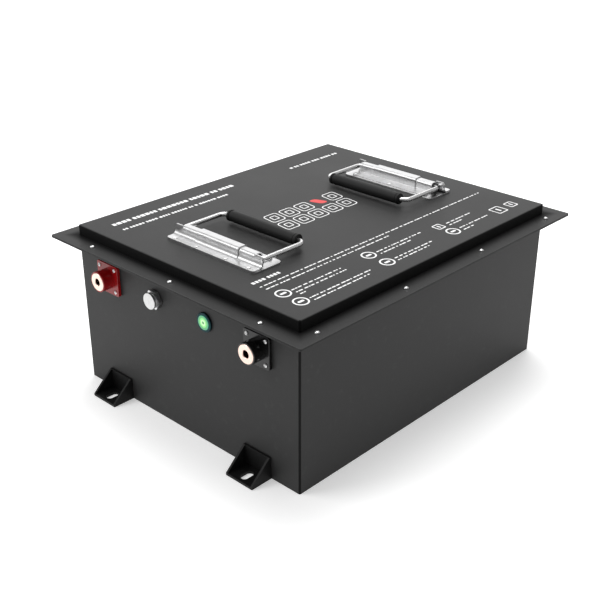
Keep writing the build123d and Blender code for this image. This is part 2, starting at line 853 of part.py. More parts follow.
def bus_bar(name, post_xs, rows, nose_y=None, tab=False):
    """A copper bar over the posts at post_xs and rows. nose_y carries it forward to that place,
    and tab turns its front end up, so that a lead can meet it."""
    low_y = rows[0] - busbar_width / 2
    high_y = rows[-1] + busbar_width / 2
    if nose_y is not None:
        low_y = nose_y - busbar_width / 2
    if tab:
        low_y = front_plate_y - tab_overhang
    width = max(post_xs) - min(post_xs) + busbar_width
    middle_x = (max(post_xs) + min(post_xs)) / 2
    with BuildPart() as bar:
        with BuildSketch(Plane.XY.offset(post_top)):
            with Locations((middle_x, (low_y + high_y) / 2)):
                RectangleRounded(width, high_y - low_y, busbar_corner)
            with Locations(*[(x, y) for x in post_xs for y in rows]):
                Circle(cell_stud_radius + hole_clearance, mode=Mode.SUBTRACT)
            if nose_y is not None:
                with Locations((middle_x, nose_y)):
                    Circle(cell_stud_radius + hole_clearance, mode=Mode.SUBTRACT)
        extrude(amount=busbar_thickness)
        if tab:
            with BuildSketch(Plane.XY.offset(post_top)):
                with Locations((middle_x, low_y + busbar_thickness / 2)):
                    Rectangle(busbar_width, busbar_thickness)
            extrude(amount=tab_height)
    save(bar, name)


bus_bar("positive_bus_bar", [-inner_post_x], front_rows, tab=True)
bus_bar("left_link_bar", [-outer_post_x], cell_row_y)
bus_bar("rear_link_bar", [-inner_post_x, inner_post_x], rear_rows)
bus_bar("right_link_bar", [outer_post_x], cell_row_y)
bus_bar("negative_bus_bar", [inner_post_x], front_rows, nose_y=module_y)

stud_points = [
    (x, y) for x in (-outer_post_x, -inner_post_x, inner_post_x, outer_post_x) for y in cell_row_y
]
stud_points.append(module_post)

with BuildPart() as bus_bar_nuts:
    with BuildSketch(Plane.XY.offset(post_top + busbar_thickness)):
        with Locations(*stud_points):
            RegularPolygon(busbar_nut_flats / 2, 6, major_radius=False)
            Circle(cell_stud_radius + running_clearance, mode=Mode.SUBTRACT)
    extrude(amount=busbar_nut_height)
save(bus_bar_nuts, "bus_bar_nuts")

for plate_name, plate_y in (("front_end_plate", front_plate_y), ("rear_end_plate", rear_plate_y)):
    with BuildPart() as end_plate:
        with BuildSketch(Plane.XY.offset(case_sheet)):
            with Locations((0, plate_y)):
                Rectangle(2 * cell_width + cell_column_gap, end_plate_thickness)
        extrude(amount=cell_body_height)
    save(end_plate, plate_name)


# ---------------------------------------------------------------- management module and leads

lead_start_y = -case_depth / 2 + contact_inside
tab_face_y = front_plate_y - tab_overhang
module_tab_face_y = module_y - busbar_thickness / 2
fin_pitch = module_width / module_fins

with BuildPart() as battery_module:
    with BuildSketch(Plane.XY.offset(module_floor)):
        with Locations((0, module_y)):
            Rectangle(module_width, module_depth)
    extrude(amount=module_height)
    with BuildSketch(Plane.XY.offset(module_floor)):
        with Locations((0, module_y - module_depth / 2 + module_fin_depth / 2)):
            with GridLocations(fin_pitch, 1, module_fins - 1, 1):
                Rectangle(module_fin_gap, module_fin_depth)
    extrude(amount=module_height, mode=Mode.SUBTRACT)
    with BuildSketch(Plane.XY.offset(module_top)):
        with Locations(module_post):
            Circle(cell_post_radius)
    extrude(amount=post_top - module_top)
    with BuildSketch(Plane.XY.offset(post_top)):
        with Locations(module_post):
            Circle(cell_stud_radius)
    extrude(amount=cell_stud_height)
    with BuildSketch(Plane.XY.offset(module_top)):
        with Locations((module_tab_x, module_y)):
            Rectangle(module_tab_width, busbar_thickness)
    extrude(amount=fitting_height + module_tab_width / 2 - module_top)
save(battery_module, "battery_module")


def power_lead(name, start_x, end_x, end_y):
    """A cable from a terminal contact to a copper tab, stepped sideways between two bends."""
    step_y = lead_start_y + lead_step_y
    with BuildPart() as lead:
        with BuildLine(Plane.XY.offset(fitting_height)) as route:
            FilletPolyline(
                (start_x, lead_start_y),
                (start_x, step_y),
                (end_x, step_y),
                (end_x, end_y),
                radius=lead_bend,
            )
        with BuildSketch(Plane(origin=route.line @ 0, z_dir=route.line % 0)):
            Circle(lead_radius)
        sweep(path=route.line)
    save(lead, name)


power_lead("positive_lead", -terminal_spread / 2, -inner_post_x, tab_face_y)
power_lead("negative_lead", terminal_spread / 2, module_tab_x, module_tab_face_y)
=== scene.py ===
import json
import math
import random

import bmesh
import bpy
from mathutils import Matrix, Vector

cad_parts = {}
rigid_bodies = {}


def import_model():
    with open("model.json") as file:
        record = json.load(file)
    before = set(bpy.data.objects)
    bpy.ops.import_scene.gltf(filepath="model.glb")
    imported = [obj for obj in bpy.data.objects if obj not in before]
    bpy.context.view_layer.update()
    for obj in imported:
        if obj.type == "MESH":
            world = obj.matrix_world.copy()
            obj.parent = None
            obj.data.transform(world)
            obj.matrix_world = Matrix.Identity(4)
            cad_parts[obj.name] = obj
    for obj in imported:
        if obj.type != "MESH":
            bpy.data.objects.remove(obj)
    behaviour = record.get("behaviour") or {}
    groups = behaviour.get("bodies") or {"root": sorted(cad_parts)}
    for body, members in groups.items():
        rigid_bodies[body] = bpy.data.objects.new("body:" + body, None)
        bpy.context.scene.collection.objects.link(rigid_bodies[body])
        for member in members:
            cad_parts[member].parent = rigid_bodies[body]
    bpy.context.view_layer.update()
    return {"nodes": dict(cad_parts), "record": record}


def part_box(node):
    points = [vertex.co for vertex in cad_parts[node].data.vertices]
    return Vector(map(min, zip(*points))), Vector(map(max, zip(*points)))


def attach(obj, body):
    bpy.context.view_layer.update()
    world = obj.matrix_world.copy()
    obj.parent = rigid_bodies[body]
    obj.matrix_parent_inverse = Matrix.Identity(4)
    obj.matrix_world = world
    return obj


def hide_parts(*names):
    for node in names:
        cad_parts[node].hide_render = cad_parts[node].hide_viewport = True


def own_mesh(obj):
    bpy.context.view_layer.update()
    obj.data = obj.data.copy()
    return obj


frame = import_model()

MM = 0.001

ENDS = ("front", "rear")
POLES = ("positive", "negative")

# ---------------------------------------------------------------- places read from the frame

mounts = {mount["name"]: mount for mount in frame["record"]["mounts"]}

WALL_X, WALL_Y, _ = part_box("case_body")[1]
LID_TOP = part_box("lid")[1].z
FLANGE_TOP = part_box("lid_flange")[1].z
TERMINAL_X, _, FITTING_Z = mounts["negative_terminal"]["pos_m"]


def middle(node):
    """The middle of a CAD node's box."""
    low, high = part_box(node)
    return (low + high) / 2


def welded(node):
    """A CAD node's own shape as closed solids: its loose triangles joined at their corners."""
    solid = bmesh.new()
    solid.from_mesh(frame["nodes"][node].data)
    bmesh.ops.remove_doubles(solid, verts=solid.verts, dist=0.001 * MM)
    return solid


def solid_middles(node):
    """The middle of each separate solid of a CAD node, in order of place."""
    solid = welded(node)
    left = set(solid.verts)
    boxes = []
    while left:
        group = [left.pop()]
        for vertex in group:
            for edge in vertex.link_edges:
                other = edge.other_vert(vertex)
                if other in left:
                    left.remove(other)
                    group.append(other)
        spots = [vertex.co for vertex in group]
        boxes.append((
            Vector(min(spot[axis] for spot in spots) for axis in range(3)),
            Vector(max(spot[axis] for spot in spots) for axis in range(3)),
        ))
    solid.free()
    boxes.sort(key=lambda box: [round(part, 4) for part in box[0]])
    return [(low + high) / 2 for low, high in boxes]


VALVE_X = middle("valve_body").x
BUTTON_X = middle("button_body").x


# ---------------------------------------------------------------- node graphs


class Shade:
    """A socket's value or colour. Arithmetic on it adds the Math nodes it needs."""

    def __init__(self, graph, socket):
        self.graph = graph
        self.socket = socket

    def math(self, operation, *values):
        return self.graph.node("ShaderNodeMath", {"operation": operation}, dict(enumerate(values)))

    def __add__(self, other):
        return self.math("ADD", self, other)

    __radd__ = __add__

    def __sub__(self, other):
        return self.math("SUBTRACT", self, other)

    def __rsub__(self, other):
        return self.math("SUBTRACT", other, self)

    def __mul__(self, other):
        return self.math("MULTIPLY", self, other)

    __rmul__ = __mul__

    def __truediv__(self, other):
        return self.math("DIVIDE", self, other)

    def __pow__(self, other):
        return self.math("POWER", self, other)

    def __abs__(self):
        return self.math("ABSOLUTE", self)

    def larger(self, other):
        return self.math("MAXIMUM", self, other)

    def root(self):
        return self.math("SQRT", self)

    def sine(self):
        return self.math("SINE", self)

    def sign(self):
        return self.math("SIGN", self)

    def step(self, start, end):
        """0 before start and 1 after end, eased between them."""
        return self.graph.node(
            "ShaderNodeMapRange",
            {"interpolation_type": "SMOOTHSTEP"},
            {"Value": self, "From Min": start, "From Max": end},
        )


class Graph:
    """A node tree that grows by one node at a time."""

    def __init__(self, tree):
        self.tree = tree

    def node(self, kind, settings=None, inputs=None, output=0):
        """Adds a node: its settings first, then the values or links of its sockets."""
        made = self.tree.nodes.new(kind)
        for setting, value in (settings or {}).items():
            setattr(made, setting, value)
        for socket, value in (inputs or {}).items():
            for item in value if isinstance(value, list) else [value]:
                if isinstance(item, Shade):
                    self.tree.links.new(item.socket, made.inputs[socket])
                else:
                    made.inputs[socket].default_value = item
        return Shade(self, made.outputs[output])

    def axes(self, vector):
        """A vector's three parts."""
        split = self.node("ShaderNodeSeparateXYZ", None, {0: vector}).socket.node
        return [Shade(self, part) for part in split.outputs]


class Finish(Graph):
    """One material: a Principled surface and the nodes that vary it."""

    def __init__(self, name, **constants):
        self.material = bpy.data.materials.new(name)
        self.material.use_nodes = True
        super().__init__(self.material.node_tree)
        self.tree.nodes.clear()
        output = self.tree.nodes.new("ShaderNodeOutputMaterial")
        self.surface = self.tree.nodes.new("ShaderNodeBsdfPrincipled")
        self.tree.links.new(self.surface.outputs[0], output.inputs[0])
        for socket, value in constants.items():
            self.surface.inputs[socket.replace("_", " ")].default_value = value
        self.place = self.node("ShaderNodeTexCoord", output="Object")
        self.x, self.y, self.z = self.axes(self.place)

    def noise(self, grain, detail=2.0, stretch=None):
        """Smooth noise whose features are about grain metres across, from 0 to 1."""
        where = self.place
        if stretch:
            where = self.node("ShaderNodeMapping", None, {"Vector": self.place, "Scale": stretch})
        return self.node(
            "ShaderNodeTexNoise",
            {"noise_dimensions": "3D"},
            {"Vector": where, "Scale": 1 / grain, "Detail": detail, "Roughness": 0.55},
        )

    def radius_about(self, centre_x, mirrored=False):
        """Distance from an axis along Y at the height of the fittings, or from a mirrored pair."""
        across = (abs(self.x) if mirrored else self.x) - centre_x
        up = self.z - FITTING_Z
        return (across * across + up * up).root()

    def blend(self, share, first, second):
        """Colour that goes from first to second as share goes from 0 to 1."""
        return self.node(
            "ShaderNodeMix", {"data_type": "RGBA"}, {0: share, 6: first, 7: second}, output=2
        )

    def feed(self, socket, value):
        self.tree.links.new(value.socket, self.surface.inputs[socket])

    def relief(self, height, depth, strength=1.0):
        """Bump of the given depth in metres, from a height between 0 and 1."""
        bump = self.node(
            "ShaderNodeBump", None, {"Strength": strength, "Distance": depth, "Height": height}
        )
        self.feed("Normal", bump)


class Layout(Graph):
    """A geometry tree with named inputs that lays one shape out over a set of points."""

    def __init__(self, name, **inputs):
        super().__init__(bpy.data.node_groups.new(name, "GeometryNodeTree"))
        sockets = self.tree.interface
        sockets.new_socket("Geometry", in_out="OUTPUT", socket_type="NodeSocketGeometry")
        for label, kind in {"Points": "Geometry", **inputs, "Material": "Material"}.items():
            sockets.new_socket(
                label.replace("_", " "), in_out="INPUT", socket_type="NodeSocket" + kind
            )
        entry = self.tree.nodes.new("NodeGroupInput")
        self.given = {socket.name: Shade(self, socket) for socket in entry.outputs if socket.name}

    def moved(self, geometry, by):
        return self.node("GeometryNodeTransform", None, {"Geometry": geometry, "Translation": by})

    def upright(self, height):
        return self.node("ShaderNodeCombineXYZ", None, {"Z": height})

    def close(self, geometry):
        """Ends the tree: real geometry in the given material."""
        real = self.node("GeometryNodeRealizeInstances", None, {"Geometry": geometry})
        dressed = self.node(
            "GeometryNodeSetMaterial", None, {"Geometry": real, "Material": self.given["Material"]}
        )
        exit_node = self.tree.nodes.new("NodeGroupOutput")
        self.tree.links.new(dressed.socket, exit_node.inputs[0])

    def lay(self, name, points, reach=None, **values):
        """Runs the tree over the points and returns the plain mesh object it makes."""
        seeds = bpy.data.meshes.new(name + "_points")
        seeds.from_pydata(points, [], [])
        if reach:
            stored = seeds.attributes.new("reach", "FLOAT_VECTOR", "POINT")
            stored.data.foreach_set("vector", [part for spot in reach for part in spot])
        carrier = bpy.data.objects.new(name + "_points", seeds)
        bpy.context.scene.collection.objects.link(carrier)
        modifier = carrier.modifiers.new("layout", "NODES")
        modifier.node_group = self.tree
        chosen = {label.replace("_", " "): value for label, value in values.items()}
        for item in self.tree.interface.items_tree:
            if item.in_out == "INPUT" and item.name in chosen:
                modifier[item.identifier] = chosen[item.name]
        evaluated = carrier.evaluated_get(bpy.context.evaluated_depsgraph_get())
        mesh = bpy.data.meshes.new_from_object(evaluated)
        mesh.name = name
        bpy.data.objects.remove(carrier)
        return show(name, mesh)


def show(name, mesh, smooth_below=35):
    """Links a finished mesh to the scene, smooth except at edges sharper than the given degrees."""
    mesh.polygons.foreach_set("use_smooth", [True] * len(mesh.polygons))
    mesh.set_sharp_from_angle(angle=math.radians(smooth_below))
    piece = bpy.data.objects.new(name, mesh)
    bpy.context.scene.collection.objects.link(piece)
    return piece


def ended(name, solid, material):
    """Ends a bmesh: a mesh in the given material."""
    mesh = bpy.data.meshes.new(name)
    solid.to_mesh(mesh)
    solid.free()
    mesh.materials.append(material)
    return mesh


def fit(piece, body, slot, *replaced):
    """Hangs a finished piece on its body, in place of the CAD nodes it stands for. Its slot is not
    used.
    """
    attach(piece, body)
    if replaced:
        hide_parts(*replaced)


def grey(value):
    return (value, value, value, 1.0)


def tone(red, green, blue):
    return (red, green, blue, 1.0)


# ---------------------------------------------------------------- finishes


# Where the painted shade of the bends starts, and how far the painted shade beyond the lid's walls
# reaches.
BEND_START = (-2.4 * MM, -1.4 * MM)
FOOT_SHADE = (1.0 * MM, 15.0 * MM)


def powder_coat(name, dark, light, painted_shade=False):
    """Textured powder coat: fine orange peel, faint cloudiness and a little handling dust. A coat
    with painted shade is near black in the upright bends, on the lid's walls and close to their
    base."""
    finish = Finish(name, IOR=1.5, Specular_IOR_Level=0.16)
    cloud = finish.noise(60 * MM, detail=3)
    peel = finish.noise(0.9 * MM, detail=2)
    speck = finish.noise(0.35 * MM, detail=1)
    dust = finish.noise(9 * MM, detail=5).step(0.55, 0.80)
    paint = finish.blend(cloud, grey(dark), grey(light))
    paint = finish.blend(speck.step(0.62, 0.72) * 0.25, paint, grey(light * 2.2))
    paint = finish.blend(dust * 0.06, paint, grey(0.20))
    rough = 0.40 + 0.10 * cloud + 0.05 * dust + 0.06 * speck
    if painted_shade:
        past_x = abs(finish.x) - WALL_X
        past_y = abs(finish.y) - WALL_Y
        above = finish.z.step(FLANGE_TOP - 0.6 * MM, FLANGE_TOP - 0.2 * MM)
        below_rim = 1 - finish.z.step(LID_TOP - 1.0 * MM, LID_TOP - 0.4 * MM)
        outside = past_x.larger(past_y)
        # Painted shade: the rounded upright bends of the case are painted near black.
        painted_bend_shade = past_x.step(*BEND_START) * past_y.step(*BEND_START)
        painted_bend_shade = painted_bend_shade * (1 - outside.step(0.3 * MM, 0.8 * MM))
        # Painted shade: near black on the lid's walls, fading out over 15 mm of flange beyond them.
        lid_wall = outside.step(-0.9 * MM, -0.3 * MM) * above * below_rim
        painted_wall_shade = lid_wall * (1 - outside.step(*FOOT_SHADE))
        paint = finish.blend(painted_bend_shade * 0.95, paint, grey(0.0012))
        paint = finish.blend(painted_wall_shade * 0.93, paint, grey(0.0012))
        rough = rough + 0.25 * painted_bend_shade + 0.30 * painted_wall_shade
    finish.feed("Base Color", paint)
    finish.feed("Roughness", rough)
    finish.relief(0.7 * peel + 0.3 * speck, 0.05 * MM, strength=0.6)
    return finish.material


def zinc_plate(name, bright, direction, dullness=0.30):
    """Zinc-plated steel with rolling marks along one direction, dull patches and faint runs."""
    finish = Finish(name, Metallic=1.0)
    marks = finish.noise(0.5 * MM, detail=3, stretch=direction)
    patch = finish.noise(14 * MM, detail=4)
    tint = finish.blend(patch, grey(bright * 0.86), tone(bright, bright, bright * 1.01))
    tint = finish.blend(marks.step(0.35, 0.75) * 0.25, tint, grey(bright * 0.75))
    runs = finish.noise(3.5 * MM, detail=3, stretch=(1.0, 0.1, 0.1))
    tint = finish.blend(runs.step(0.45, 0.80) * 0.35, tint, grey(bright * 0.55))
    finish.feed("Base Color", tint)
    finish.feed("Roughness", dullness + 0.12 * patch + 0.10 * marks)
    finish.relief(marks, 0.02 * MM, strength=0.2)
    return finish.material


def drawn_wire(name, bright, shine):
    """Bright drawn wire with faint lengthwise lines."""
    finish = Finish(name, Metallic=1.0)
    patch = finish.noise(8 * MM, detail=3)
    line = finish.noise(0.4 * MM, detail=2)
    finish.feed("Base Color", finish.blend(patch, grey(bright * 0.9), grey(bright)))
    finish.feed("Roughness", shine + 0.08 * patch + 0.05 * line)
    finish.relief(line, 0.01 * MM, strength=0.15)
    return finish.material


def turned_metal(name, colour, centre_x, groove, shine, mirrored=False, bore=None):
    """Metal turned on a lathe about an axis along Y, with fine grooves. Inside the bore's radius it
    is dark brown, nearly black."""
    finish = Finish(name, Metallic=1.0)
    radius = finish.radius_about(centre_x, mirrored)
    rings = (radius * (2 * math.pi / groove)).sine() * 0.5 + 0.5
    stain = finish.noise(3 * MM, detail=4)
    darker = tuple(0.72 * part for part in colour[:3]) + (1.0,)
    metal = finish.blend(stain.step(0.45, 0.85) * 0.6, colour, darker)
    if bore:
        inside = (1 - radius.step(bore, bore + 0.3 * MM)) * 0.95
        metal = finish.blend(inside, metal, tone(0.05, 0.012, 0.006))
    finish.feed("Base Color", metal)
    finish.feed("Roughness", shine + 0.10 * stain + 0.05 * rings)
    finish.relief(rings, 0.012 * MM, strength=0.5)
    return finish.material


def gloss_moulding(name, colour, deep):
    """Injection-moulded plastic: gloss, very slight sink marks and fine rubs."""
    finish = Finish(name, IOR=1.5, Specular_IOR_Level=0.35, Coat_Weight=0.06, Coat_Roughness=0.08)
    flow = finish.noise(11 * MM, detail=3)
    rub = finish.noise(0.6 * MM, detail=3, stretch=(1.0, 0.25, 1.0))
    finish.feed("Base Color", finish.blend(flow, colour, deep))
    finish.feed("Roughness", 0.16 + 0.10 * flow + 0.10 * rub.step(0.55, 0.8))
    finish.relief(0.8 * flow + 0.2 * rub, 0.06 * MM, strength=0.35)
    return finish.material


def moulded_rubber(name, dark, light, grain=0.5 * MM, rough=0.62, gloss=0.5):
    """Matte rubber with a fine spark-eroded grain and paler scuffs."""
    finish = Finish(name, IOR=1.5, Specular_IOR_Level=gloss)
    patch = finish.noise(12 * MM, detail=4)
    fine = finish.noise(grain, detail=2)
    scuff = finish.noise(4 * MM, detail=5).step(0.62, 0.8)
    body = finish.blend(patch, grey(dark), grey(light))
    finish.feed("Base Color", finish.blend(scuff * 0.25, body, grey(light * 2)))
    finish.feed("Roughness", rough + 0.12 * fine - 0.08 * scuff)
    finish.relief(fine, 0.05 * MM, strength=0.7)
    return finish.material


def matte_moulding(name, colour, light):
    """Matte plastic or film with a fine grain."""
    finish = Finish(name, IOR=1.5)
    patch = finish.noise(20 * MM, detail=4)
    fine = finish.noise(0.7 * MM, detail=2)
    finish.feed("Base Color", finish.blend(0.6 * patch + 0.4 * fine, colour, light))
    finish.feed("Roughness", 0.42 + 0.2 * fine + 0.1 * patch)
    finish.relief(0.3 * patch + 0.7 * fine, 0.04 * MM, strength=0.5)
    return finish.material


def lit_lens(name, rim, field, halo, centre, strength):
    """The lit face of the button: a deep rim, a bright field, a halo and a small dim centre."""
    finish = Finish(
        name, Roughness=0.28, Coat_Weight=0.5, Coat_Roughness=0.05, Emission_Strength=strength
    )
    radius = finish.radius_about(BUTTON_X)
    haze = finish.noise(1.2 * MM, detail=3)
    lens = finish.blend(radius.step(6.2 * MM, 8.0 * MM), field, rim)
    lens = finish.blend(1 - radius.step(3.0 * MM, 4.2 * MM), lens, halo)
    lens = finish.blend((1 - radius.step(1.3 * MM, 2.2 * MM)) * 0.9, lens, centre)
    lens = finish.blend(haze * 0.12, lens, rim)
    finish.feed("Base Color", lens)
    finish.feed("Emission Color", lens)
    finish.relief(haze, 0.02 * MM, strength=0.3)
    return finish.material


def screen_print(name, ink, worn):
    """Screen-printed ink: flat, slightly porous, thin where it has rubbed."""
    finish = Finish(name, IOR=1.45)
    porous = finish.noise(0.4 * MM, detail=2)
    rubbed = finish.noise(6 * MM, detail=4).step(0.60, 0.85)
    finish.feed("Base Color", finish.blend(0.25 * porous.step(0.4, 0.9) + 0.35 * rubbed, ink, worn))
    finish.feed("Roughness", 0.5 + 0.15 * porous)
    finish.relief(porous, 0.01 * MM, strength=0.4)
    return finish.material


# The case's coat carries painted shade in its bends and at the lid's walls.
case_paint = powder_coat("case_powder_coat", 0.026, 0.032, painted_shade=True)
foot_paint = powder_coat("foot_powder_coat", 0.005, 0.008)
pressed_zinc = zinc_plate("pressed_zinc", 0.68, (0.04, 1.0, 1.0), dullness=0.24)
fastener_zinc = drawn_wire("fastener_zinc", 0.80, 0.24)
bail_wire = drawn_wire("bail_wire", 0.80, 0.20)
spring_wire = drawn_wire("spring_wire", 0.45, 0.30)
contact_copper = turned_metal(
    "contact_copper", tone(0.90, 0.69, 0.60), TERMINAL_X, 0.35 * MM, 0.26,
    mirrored=True, bore=4.1 * MM,
)
valve_steel = turned_metal("valve_steel", tone(0.60, 0.60, 0.595), VALVE_X, 0.30 * MM, 0.34)
plain_steel = zinc_plate("plain_steel", 0.66, (1.0, 1.0, 0.3), dullness=0.20)
screw_steel = drawn_wire("screw_steel", 0.80, 0.34)
bezel_steel = turned_metal("bezel_steel", tone(0.012, 0.035, 0.040), BUTTON_X, 0.30 * MM, 0.30)
red_moulding = gloss_moulding("positive_red", tone(0.30, 0.004, 0.005), tone(0.20, 0.002, 0.003))
black_moulding = gloss_moulding("negative_black", grey(0.003), grey(0.006))
grip_rubber = moulded_rubber("grip_rubber", 0.004, 0.007, rough=0.55, gloss=0.3)
seal_rubber = moulded_rubber("seal_rubber", 0.008, 0.014, grain=0.3 * MM)
LENS_RIM = tone(0.02, 0.26, 0.14)
LENS_FIELD = tone(0.06, 0.32, 0.09)
LENS_HALO = tone(0.50, 0.95, 0.40)
LENS_CENTRE = tone(0.02, 0.16, 0.04)
button_lens = lit_lens("button_lens", LENS_RIM, LENS_FIELD, LENS_HALO, LENS_CENTRE, 0.5)
button_glow = lit_lens("button_glow", LENS_FIELD, tone(0.16, 0.56, 0.15), LENS_HALO, LENS_HALO, 0.6)
cell_film = matte_moulding("cell_film", tone(0.02, 0.07, 0.24), tone(0.03, 0.11, 0.34))
bar_copper = zinc_plate("bar_copper", 0.80, (1.0, 0.06, 1.0))
plate_aluminium = zinc_plate("plate_aluminium", 0.78, (0.05, 1.0, 1.0))
module_moulding = matte_moulding("module_moulding", grey(0.012), grey(0.020))
red_sheath = matte_moulding("red_sheath", tone(0.30, 0.010, 0.010), tone(0.38, 0.016, 0.014))
black_sheath = moulded_rubber("black_sheath", 0.010, 0.016)
white_ink = screen_print("white_ink", grey(0.90), grey(0.55))
red_ink = screen_print("red_ink", tone(0.72, 0.06, 0.06), tone(0.45, 0.05, 0.05))


def dress(material, *nodes):
    """Gives the finish to CAD nodes that stay in the picture."""
    for node in nodes:
        slots = frame["nodes"][node].data.materials
        slots.clear()
        slots.append(material)


dress(case_paint, "case_body", "case_flange", "lid", "lid_flange")
dress(foot_paint, *(f"foot_{end}_{hand}" for end in ENDS for hand in ("left", "right")))
dress(pressed_zinc, *(f"{end}_handle_{piece}" for end in ENDS for piece in ("plate", "housing")))
dress(bail_wire, *(f"{end}_handle_bail" for end in ENDS))
dress(seal_rubber, "lid_gasket", "valve_seal", "button_seal")
dress(seal_rubber, *(f"{end}_handle_bushes" for end in ENDS))
dress(seal_rubber, *(f"{pole}_terminal_gasket" for pole in POLES))
dress(spring_wire, *(f"{end}_handle_springs" for end in ENDS))
dress(fastener_zinc, "lid_clinch_nuts", "bus_bar_nuts", *(f"{end}_handle_rivets" for end in ENDS))
dress(contact_copper, *(f"{pole}_terminal_contact" for pole in POLES))
dress(red_moulding, "positive_terminal_housing")
dress(black_moulding, "negative_terminal_housing")
dress(valve_steel, "valve_cap", "valve_retainer")
dress(plain_steel, "valve_body", "valve_nut")
dress(bezel_steel, "button_body", "button_nut")
dress(button_lens, "button_cap")
dress(button_glow, "button_light_ring")
dress(cell_film, *(f"cell_group_{group}" for group in (1, 2, 3, 4)))
dress(bar_copper, *(f"{pole}_bus_bar" for pole in POLES))
dress(bar_copper, *(f"{side}_link_bar" for side in ("left", "rear", "right")))
dress(plate_aluminium, "front_end_plate", "rear_end_plate")
dress(module_moulding, "battery_module")
dress(red_sheath, "positive_lead")
dress(black_sheath, "negative_lead")


# ---------------------------------------------------------------- screws


def screw_layout(name, cross):
    """A geometry tree for screws: domed heads with a hexagonal or a cross recess, each turned its
    own way."""
    layout = Layout(
        name, Head_Radius="Float", Head_Height="Float", Crown="Float", Shank_Radius="Float",
        Shank_Length="Float", Recess_Width="Float", Recess_Depth="Float", Seed="Int", Seat="Vector",
        Facing="Rotation",
    )
    given = layout.given
    blank = layout.node(
        "GeometryNodeMeshCylinder",
        {"fill_type": "TRIANGLE_FAN"},
        {"Vertices": 32, "Side Segments": 2, "Fill Segments": 5, "Radius": given["Head Radius"],
         "Depth": given["Head Height"]},
    )
    half = given["Head Height"] / 2
    blank = layout.moved(blank, layout.upright(half))
    x, y, z = layout.axes(layout.node("GeometryNodeInputPosition"))
    out = (x * x + y * y).root() / given["Head Radius"]
    dome = z * (1 - given["Crown"] * out ** 3)
    raised = layout.node("ShaderNodeCombineXYZ", None, {"X": x, "Y": y, "Z": dome})
    head = layout.node("GeometryNodeSetPosition", None, {"Geometry": blank, "Position": raised})
    shank = layout.node(
        "GeometryNodeMeshCylinder", None,
        {"Vertices": 24, "Radius": given["Shank Radius"], "Depth": given["Shank Length"] + half},
    )
    shank = layout.moved(shank, layout.upright((half - given["Shank Length"]) / 2))
    solid = layout.node(
        "GeometryNodeMeshBoolean", {"operation": "UNION", "solver": "EXACT"},
        {"Mesh 2": [head, shank]},
    )
    if cross:
        arm_share = 0.24
        arms = []
        for along, over in (("X", "Y"), ("Y", "X")):
            sides = layout.node(
                "ShaderNodeCombineXYZ", None,
                {along: given["Recess Width"], over: given["Recess Width"] * arm_share,
                 "Z": given["Recess Depth"] * 2},
            )
            arms.append(layout.node("GeometryNodeMeshCube", None, {"Size": sides}))
    else:
        arms = [layout.node(
            "GeometryNodeMeshCylinder", None,
            {"Vertices": 6, "Radius": given["Recess Width"] / 2,
             "Depth": given["Recess Depth"] * 2},
        )]
    cutters = [layout.moved(arm, layout.upright(given["Head Height"])) for arm in arms]
    screw = layout.node(
        "GeometryNodeMeshBoolean", {"operation": "DIFFERENCE", "solver": "EXACT"},
        {"Mesh 1": solid, "Mesh 2": cutters},
    )
    turn = layout.node(
        "FunctionNodeRandomValue", {"data_type": "FLOAT_VECTOR"},
        {0: (0, 0, 0), 1: (0, 0, 2 * math.pi), "Seed": given["Seed"]},
    )
    screws = layout.node(
        "GeometryNodeInstanceOnPoints", None,
        {"Points": given["Points"], "Instance": screw, "Rotation": turn},
    )
    real = layout.node("GeometryNodeRealizeInstances", None, {"Geometry": screws})
    seated = layout.node(
        "GeometryNodeTransform", None,
        {"Geometry": real, "Translation": given["Seat"], "Rotation": given["Facing"]},
    )
    layout.close(seated)
    return layout


hex_screws = screw_layout("hexagon_recess_screws", cross=False)
cross_screws = screw_layout("cross_recess_screws", cross=True)

lid_screws = hex_screws.lay(
    "lid_button_head_screws",
    [(place.x, place.y, 0) for place in solid_middles("lid_screws")],
    Head_Radius=2.7 * MM, Head_Height=2.0 * MM, Crown=0.6, Shank_Radius=1.5 * MM,
    Shank_Length=7.0 * MM, Recess_Width=2.4 * MM, Recess_Depth=1.0 * MM, Seed=3,
    Seat=(0, 0, FLANGE_TOP), Facing=(0, 0, 0), Material=fastener_zinc,
)
fit(lid_screws, "pack", "zinc_steel", "lid_screws")

TERMINAL_SCREW_HEAD = 1.5 * MM
for pole in POLES:
    cad_screws = f"{pole}_terminal_screws"
    seat_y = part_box(cad_screws)[0].y + TERMINAL_SCREW_HEAD
    pole_screws = cross_screws.lay(
        f"{pole}_terminal_cross_screws",
        [(place.x, place.z, 0) for place in solid_middles(cad_screws)],
        Head_Radius=2.1 * MM, Head_Height=TERMINAL_SCREW_HEAD, Crown=0.5, Shank_Radius=1.5 * MM,
        Shank_Length=9.5 * MM, Recess_Width=2.6 * MM, Recess_Depth=0.7 * MM, Seed=8,
        Seat=(0, seat_y, 0), Facing=(math.pi / 2, 0, 0),
        Material=screw_steel,
    )
    fit(pole_screws, "pack", "zinc_steel", cad_screws)


# ---------------------------------------------------------------- compression springs


# Each spring shortens with its joint, so a closed copy of it stands for the CAD node.
for joint in frame["record"]["behaviour"]["joints"]:
    for spring in joint.get("deforming_nodes", ()):
        coil_name = spring["node"] + "_coil"
        coil = show(coil_name, ended(coil_name, welded(spring["node"]), spring_wire))
        fit(coil, joint["parent"], "spring_steel", spring["node"])
        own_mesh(coil)


# ---------------------------------------------------------------- handle grips


